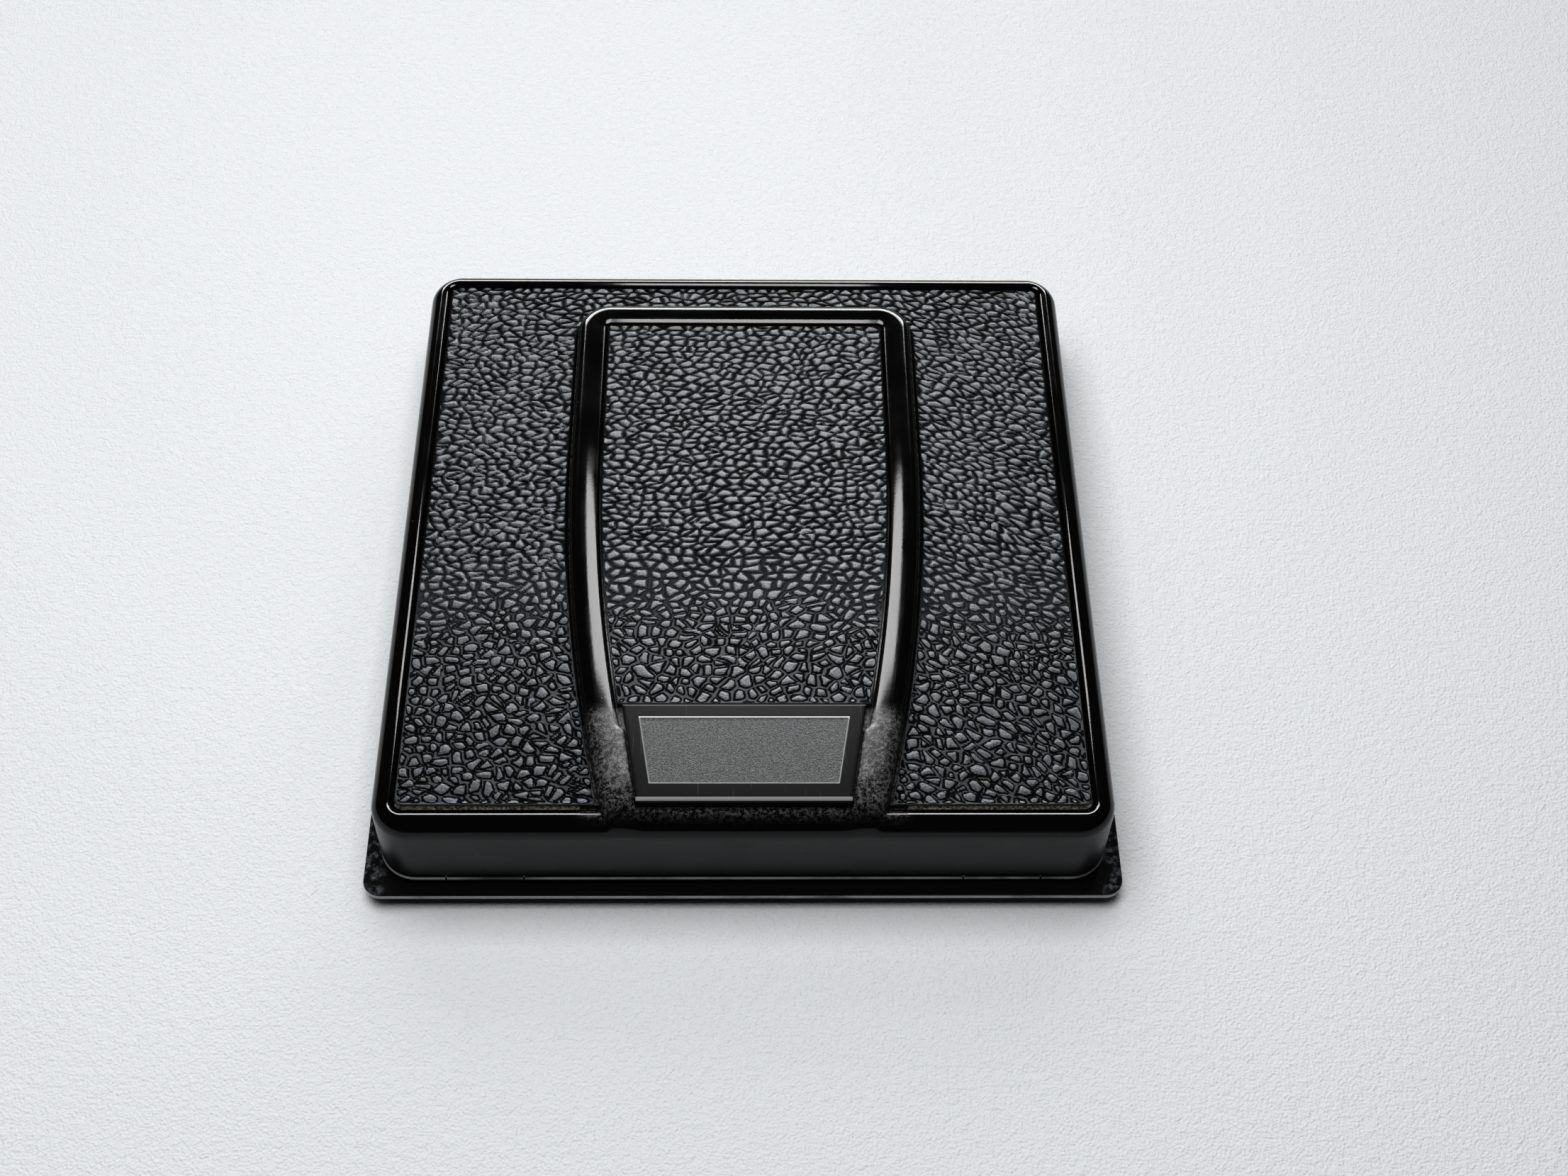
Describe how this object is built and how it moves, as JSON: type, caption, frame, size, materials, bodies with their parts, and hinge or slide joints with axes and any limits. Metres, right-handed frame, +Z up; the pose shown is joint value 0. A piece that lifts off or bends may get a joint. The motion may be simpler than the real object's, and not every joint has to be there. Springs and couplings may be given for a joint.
{
  "type": "folding viewing hood",
  "caption": "Folding waist-level viewing hood for a reflex camera: leather-covered lid, fold-down light shields and a swing-out magnifier on a flanged base.",
  "frame": {"origin": "centre of the footprint, on the underside of the locating collar", "axes": "+X to the right, +Y from the lid's hinge to its rear edge, +Z up out of the camera"},
  "size_m": [0.1004, 0.103, 0.0192],
  "materials": {
    "gloss_black_lid": "high-gloss black enamel over a drawn sheet lid, with fine orange peel and worn edges",
    "black_enamel": "gloss black enamel, rubbed bluish grey at the corners",
    "satin_black_metal": "satin black anodised aluminium",
    "shield_black": "matte black blackened sheet",
    "flock_black": "dull black anti-reflection paint",
    "black_leather": "charcoal pebble-grain leatherette",
    "name_plate_black": "black plate with a polished border and a speckled matte field",
    "pin_steel": "bright drawn steel",
    "screw_steel": "blackened steel screw",
    "spring_steel": "drawn spring wire",
    "lens_glass": "polished magnifier glass"
  },
  "bodies": {
    "base": {"mounting_plate": "black_enamel", "locating_collar": "satin_black_metal", "base_frame": "satin_black_metal", "frame_screws": "screw_steel", "lid_hinge_pin": "pin_steel", "left_shield_pin": "pin_steel", "right_shield_pin": "pin_steel", "rear_shield_pin": "pin_steel", "left_shield_spring": "spring_steel", "right_shield_spring": "spring_steel", "rear_shield_springs": "spring_steel", "lid_clip_springs": "spring_steel", "clip_rivets": "pin_steel"},
    "lid": {"lid_shell": "gloss_black_lid", "lid_leather_surround": "black_leather", "tongue_leather": "black_leather", "name_plate": "name_plate_black", "lid_hinge_leaves": "satin_black_metal", "hinge_rivets": "pin_steel", "lid_liner": "flock_black", "liner_screws": "screw_steel", "magnifier_bracket": "satin_black_metal", "bracket_screws": "screw_steel", "magnifier_pin": "pin_steel", "magnifier_spring": "spring_steel"},
    "left_shield": {"left_shield": "shield_black"},
    "right_shield": {"right_shield": "shield_black"},
    "rear_shield": {"rear_shield": "shield_black"},
    "magnifier": {"magnifier_frame": "satin_black_metal", "magnifier_lens": "lens_glass", "lens_ring": "satin_black_metal"}
  },
  "joints": [
    {"name": "lid_hinge", "type": "hinge", "parent": "base", "child": "lid", "pos_m": [0, -0.0488, 0.00385], "axis": [1, 0, 0], "range_deg": [0, 90]},
    {"name": "left_shield_hinge", "type": "hinge", "parent": "base", "child": "left_shield", "pos_m": [-0.042, 0, 0.0062], "axis": [0, -1, 0], "range_deg": [0, 90]},
    {"name": "right_shield_hinge", "type": "hinge", "parent": "base", "child": "right_shield", "pos_m": [0.042, 0, 0.0062], "axis": [0, 1, 0], "range_deg": [0, 90]},
    {"name": "rear_shield_hinge", "type": "hinge", "parent": "base", "child": "rear_shield", "pos_m": [0, 0.044, 0.008], "axis": [-1, 0, 0], "range_deg": [0, 90]},
    {"name": "magnifier_hinge", "type": "hinge", "parent": "lid", "child": "magnifier", "pos_m": [0, -0.0038, 0.0118], "axis": [1, 0, 0], "range_deg": [-90, 0]}
  ],
  "couplings": [
    {"joint": "left_shield_hinge", "follows": "lid_hinge", "ratio": 1},
    {"joint": "right_shield_hinge", "follows": "lid_hinge", "ratio": 1},
    {"joint": "rear_shield_hinge", "follows": "lid_hinge", "ratio": 1},
    {"joint": "magnifier_hinge", "follows": "lid_hinge", "ratio": -1}
  ]
}
